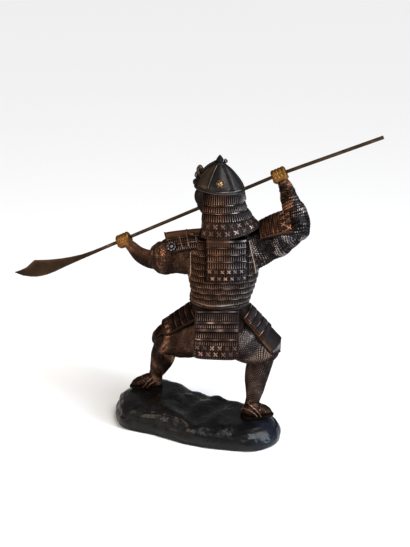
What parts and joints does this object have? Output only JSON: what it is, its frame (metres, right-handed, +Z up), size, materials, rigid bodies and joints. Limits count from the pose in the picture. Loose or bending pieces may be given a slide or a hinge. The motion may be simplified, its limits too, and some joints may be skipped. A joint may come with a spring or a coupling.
{
  "type": "samurai statuette",
  "caption": "Bronzed statuette of a samurai in lamellar armour, wide stance on a rock, holding a long glaive across the shoulders with both hands.",
  "frame": {"origin": "middle of the rock base's flat underside", "axes": "+Z up, +Y the way the chest faces, +X to the figure's right hand and along the length of the glaive"},
  "size_m": [0.3767, 0.121, 0.3052],
  "materials": {
    "bronze_patina": "dark brown bronze patina, rubbed copper and silver-grey on the high spots",
    "glaive_bronze": "olive brown bronze patina, worn on the edges",
    "dark_rock": "near-black cast resin, satin, faintly mottled"
  },
  "bodies": {
    "root": {"samurai": "bronze_patina", "naginata": "glaive_bronze", "rock_base": "dark_rock"}
  },
  "joints": []
}
